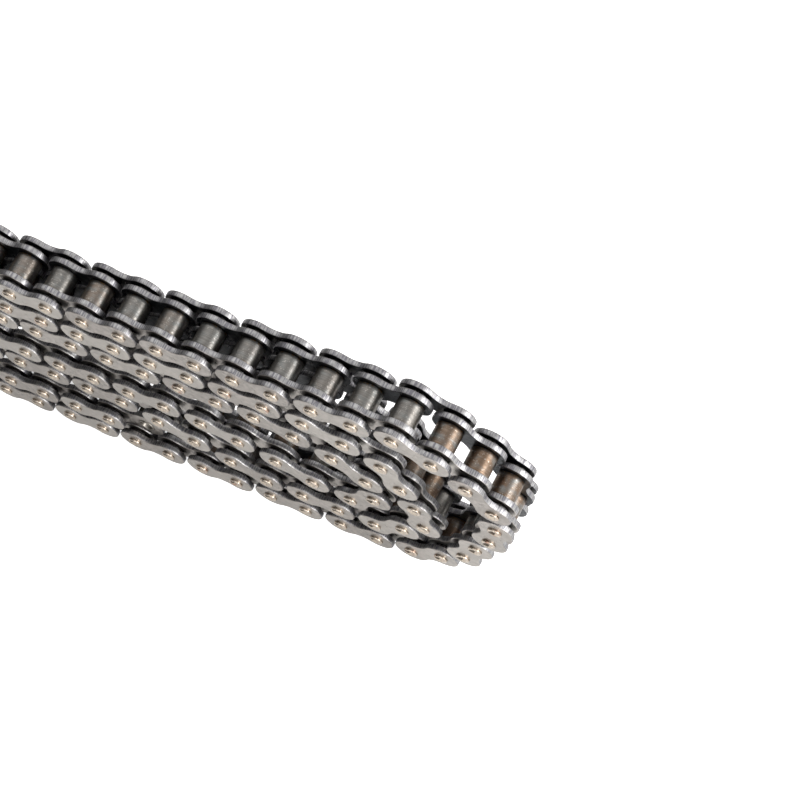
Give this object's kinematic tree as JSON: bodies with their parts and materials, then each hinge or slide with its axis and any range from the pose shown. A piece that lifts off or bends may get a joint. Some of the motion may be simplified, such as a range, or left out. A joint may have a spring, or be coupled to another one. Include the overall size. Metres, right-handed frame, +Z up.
{
  "type": "roller chain",
  "caption": "Sealed steel roller chain wound into a flat hank, with waisted plates, seal rings, rollers that spin and a free top run whose links hinge",
  "frame": {"origin": "centre of the hank's bounding box, on the surface it stands on", "axes": "+X along the straight runs towards the round folds, +Y along the pins, +Z up"},
  "size_m": [0.3174, 0.0236, 0.1268],
  "materials": {
    "plate_steel": "satin, tumbled",
    "pin_steel": "bright, staked ends",
    "bush_steel": "ground",
    "roller_steel": "oiled, heat-darkened",
    "seal_rubber": "greased"
  },
  "bodies": {
    "hank": {"hank_inner_plates": "plate_steel", "hank_bushes": "bush_steel", "hank_rollers": "roller_steel", "hank_outer_plates": "plate_steel", "hank_pins": "pin_steel", "hank_seal_rings": "seal_rubber", "tail_inner_plates": "plate_steel", "tail_bushes": "bush_steel", "tail_rollers": "roller_steel"},
    "outer_link_7": {"outer_plates_7": "plate_steel", "pins_7": "pin_steel", "seal_rings_7": "seal_rubber"},
    "inner_link_7": {"inner_plates_7": "plate_steel", "bushes_7": "bush_steel"},
    "roller_7a": {"roller_7a": "roller_steel"},
    "roller_7b": {"roller_7b": "roller_steel"},
    "outer_link_6": {"outer_plates_6": "plate_steel", "pins_6": "pin_steel", "seal_rings_6": "seal_rubber"},
    "inner_link_6": {"inner_plates_6": "plate_steel", "bushes_6": "bush_steel"},
    "roller_6a": {"roller_6a": "roller_steel"},
    "roller_6b": {"roller_6b": "roller_steel"},
    "outer_link_5": {"outer_plates_5": "plate_steel", "pins_5": "pin_steel", "seal_rings_5": "seal_rubber"},
    "inner_link_5": {"inner_plates_5": "plate_steel", "bushes_5": "bush_steel"},
    "roller_5a": {"roller_5a": "roller_steel"},
    "roller_5b": {"roller_5b": "roller_steel"},
    "outer_link_4": {"outer_plates_4": "plate_steel", "pins_4": "pin_steel", "seal_rings_4": "seal_rubber"},
    "inner_link_4": {"inner_plates_4": "plate_steel", "bushes_4": "bush_steel"},
    "roller_4a": {"roller_4a": "roller_steel"},
    "roller_4b": {"roller_4b": "roller_steel"},
    "outer_link_3": {"outer_plates_3": "plate_steel", "pins_3": "pin_steel", "seal_rings_3": "seal_rubber"},
    "inner_link_3": {"inner_plates_3": "plate_steel", "bushes_3": "bush_steel"},
    "roller_3a": {"roller_3a": "roller_steel"},
    "roller_3b": {"roller_3b": "roller_steel"},
    "outer_link_2": {"outer_plates_2": "plate_steel", "pins_2": "pin_steel", "seal_rings_2": "seal_rubber"},
    "inner_link_2": {"inner_plates_2": "plate_steel", "bushes_2": "bush_steel"},
    "roller_2a": {"roller_2a": "roller_steel"},
    "roller_2b": {"roller_2b": "roller_steel"},
    "outer_link_1": {"outer_plates_1": "plate_steel", "pins_1": "pin_steel", "seal_rings_1": "seal_rubber"},
    "inner_link_1": {"inner_plates_1": "plate_steel", "bushes_1": "bush_steel"},
    "roller_1a": {"roller_1a": "roller_steel"},
    "roller_1b": {"roller_1b": "roller_steel"}
  },
  "joints": [
    {"name": "outer_link_7_hinge", "type": "hinge", "parent": "hank", "child": "outer_link_7", "pos_m": [0.07104, 0, 0.11929], "axis": [0, 1, 0], "range_deg": [0, 23.2]},
    {"name": "inner_link_7_hinge", "type": "hinge", "parent": "outer_link_7", "child": "inner_link_7", "pos_m": [0.05517, 0, 0.11929], "axis": [0, 1, 0], "range_deg": [0, 23.9]},
    {"name": "roller_7a_spin", "type": "hinge", "parent": "inner_link_7", "child": "roller_7a", "pos_m": [0.03929, 0, 0.11929], "axis": [0, 1, 0], "continuous": true},
    {"name": "roller_7b_spin", "type": "hinge", "parent": "inner_link_7", "child": "roller_7b", "pos_m": [0.05517, 0, 0.11929], "axis": [0, 1, 0], "continuous": true},
    {"name": "outer_link_6_hinge", "type": "hinge", "parent": "inner_link_7", "child": "outer_link_6", "pos_m": [0.03929, 0, 0.11929], "axis": [0, 1, 0], "range_deg": [0, 24.7]},
    {"name": "inner_link_6_hinge", "type": "hinge", "parent": "outer_link_6", "child": "inner_link_6", "pos_m": [0.02342, 0, 0.11929], "axis": [0, 1, 0], "range_deg": [0, 25.6]},
    {"name": "roller_6a_spin", "type": "hinge", "parent": "inner_link_6", "child": "roller_6a", "pos_m": [0.00754, 0, 0.11929], "axis": [0, 1, 0], "continuous": true},
    {"name": "roller_6b_spin", "type": "hinge", "parent": "inner_link_6", "child": "roller_6b", "pos_m": [0.02342, 0, 0.11929], "axis": [0, 1, 0], "continuous": true},
    {"name": "outer_link_5_hinge", "type": "hinge", "parent": "inner_link_6", "child": "outer_link_5", "pos_m": [0.00754, 0, 0.11929], "axis": [0, 1, 0], "range_deg": [0, 26.5]},
    {"name": "inner_link_5_hinge", "type": "hinge", "parent": "outer_link_5", "child": "inner_link_5", "pos_m": [-0.00833, 0, 0.11929], "axis": [0, 1, 0], "range_deg": [0, 27.6]},
    {"name": "roller_5a_spin", "type": "hinge", "parent": "inner_link_5", "child": "roller_5a", "pos_m": [-0.02421, 0, 0.11929], "axis": [0, 1, 0], "continuous": true},
    {"name": "roller_5b_spin", "type": "hinge", "parent": "inner_link_5", "child": "roller_5b", "pos_m": [-0.00833, 0, 0.11929], "axis": [0, 1, 0], "continuous": true},
    {"name": "outer_link_4_hinge", "type": "hinge", "parent": "inner_link_5", "child": "outer_link_4", "pos_m": [-0.02421, 0, 0.11929], "axis": [0, 1, 0], "range_deg": [0, 28.9]},
    {"name": "inner_link_4_hinge", "type": "hinge", "parent": "outer_link_4", "child": "inner_link_4", "pos_m": [-0.04008, 0, 0.11929], "axis": [0, 1, 0], "range_deg": [0, 30.4]},
    {"name": "roller_4a_spin", "type": "hinge", "parent": "inner_link_4", "child": "roller_4a", "pos_m": [-0.05596, 0, 0.11929], "axis": [0, 1, 0], "continuous": true},
    {"name": "roller_4b_spin", "type": "hinge", "parent": "inner_link_4", "child": "roller_4b", "pos_m": [-0.04008, 0, 0.11929], "axis": [0, 1, 0], "continuous": true},
    {"name": "outer_link_3_hinge", "type": "hinge", "parent": "inner_link_4", "child": "outer_link_3", "pos_m": [-0.05596, 0, 0.11929], "axis": [0, 1, 0], "range_deg": [0, 32]},
    {"name": "inner_link_3_hinge", "type": "hinge", "parent": "outer_link_3", "child": "inner_link_3", "pos_m": [-0.07183, 0, 0.11929], "axis": [0, 1, 0], "range_deg": [0, 34.1]},
    {"name": "roller_3a_spin", "type": "hinge", "parent": "inner_link_3", "child": "roller_3a", "pos_m": [-0.08771, 0, 0.11929], "axis": [0, 1, 0], "continuous": true},
    {"name": "roller_3b_spin", "type": "hinge", "parent": "inner_link_3", "child": "roller_3b", "pos_m": [-0.07183, 0, 0.11929], "axis": [0, 1, 0], "continuous": true},
    {"name": "outer_link_2_hinge", "type": "hinge", "parent": "inner_link_3", "child": "outer_link_2", "pos_m": [-0.08771, 0, 0.11929], "axis": [0, 1, 0], "range_deg": [0, 36.5]},
    {"name": "inner_link_2_hinge", "type": "hinge", "parent": "outer_link_2", "child": "inner_link_2", "pos_m": [-0.10358, 0, 0.11929], "axis": [0, 1, 0], "range_deg": [0, 39.6]},
    {"name": "roller_2a_spin", "type": "hinge", "parent": "inner_link_2", "child": "roller_2a", "pos_m": [-0.11946, 0, 0.11929], "axis": [0, 1, 0], "continuous": true},
    {"name": "roller_2b_spin", "type": "hinge", "parent": "inner_link_2", "child": "roller_2b", "pos_m": [-0.10358, 0, 0.11929], "axis": [0, 1, 0], "continuous": true},
    {"name": "outer_link_1_hinge", "type": "hinge", "parent": "inner_link_2", "child": "outer_link_1", "pos_m": [-0.11946, 0, 0.11929], "axis": [0, 1, 0], "range_deg": [0, 43.5]},
    {"name": "inner_link_1_hinge", "type": "hinge", "parent": "outer_link_1", "child": "inner_link_1", "pos_m": [-0.13533, 0, 0.11929], "axis": [0, 1, 0], "range_deg": [0, 49]},
    {"name": "roller_1a_spin", "type": "hinge", "parent": "inner_link_1", "child": "roller_1a", "pos_m": [-0.15121, 0, 0.11929], "axis": [0, 1, 0], "continuous": true},
    {"name": "roller_1b_spin", "type": "hinge", "parent": "inner_link_1", "child": "roller_1b", "pos_m": [-0.13533, 0, 0.11929], "axis": [0, 1, 0], "continuous": true}
  ]
}
